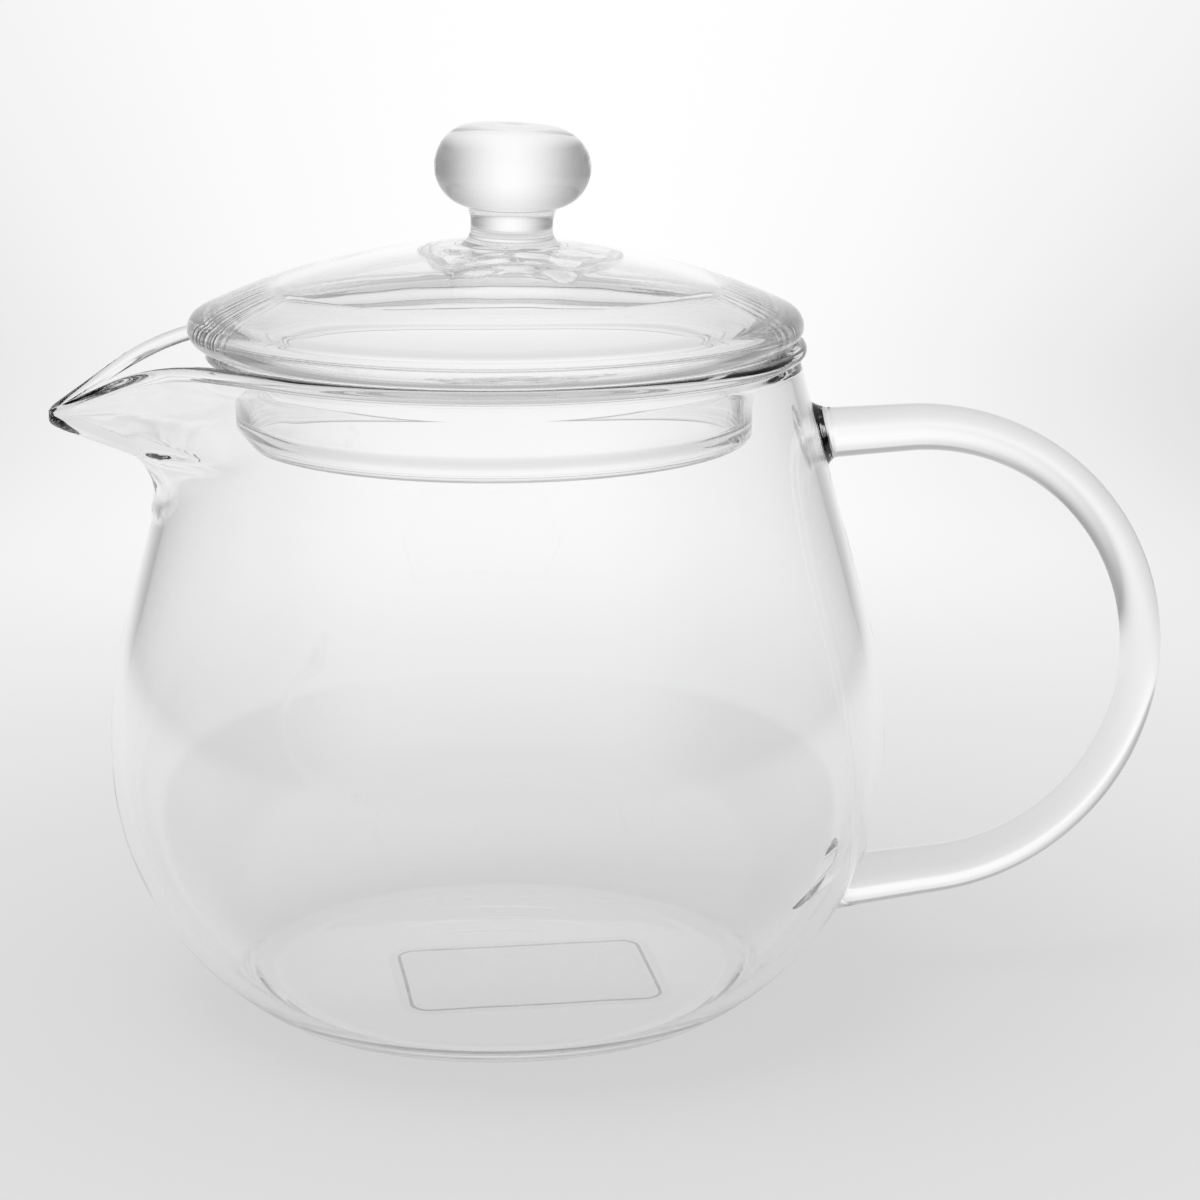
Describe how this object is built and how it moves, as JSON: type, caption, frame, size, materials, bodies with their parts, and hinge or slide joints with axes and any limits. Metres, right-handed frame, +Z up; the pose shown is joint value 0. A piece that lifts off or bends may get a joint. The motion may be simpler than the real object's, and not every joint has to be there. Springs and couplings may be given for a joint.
{
  "type": "glass teapot",
  "caption": "Clear blown-glass teapot with a pinched beak on the rim, a bowed glass-rod handle and a domed lift-off lid with a glass knob.",
  "frame": {"origin": "centre of the round foot, on the surface that the pot stands on", "axes": "+Z up along the pot's axis, +X towards the handle, -X towards the beak"},
  "size_m": [0.1506, 0.105, 0.1186],
  "materials": {
    "clear_glass": "clear heat-proof glass, fire-polished",
    "clear_film": "thin clear film, smooth, blank"
  },
  "bodies": {
    "pot": {"pot_body": "clear_glass", "handle": "clear_glass", "handle_upper_weld": "clear_glass", "handle_lower_weld": "clear_glass", "base_film": "clear_film"},
    "lid": {"lid_shell": "clear_glass", "knob": "clear_glass", "knob_weld": "clear_glass"}
  },
  "joints": [
    {"name": "lid_lift", "type": "slide", "parent": "pot", "child": "lid", "axis": [0, 0, 1], "range_m": [0, 0.06]}
  ]
}
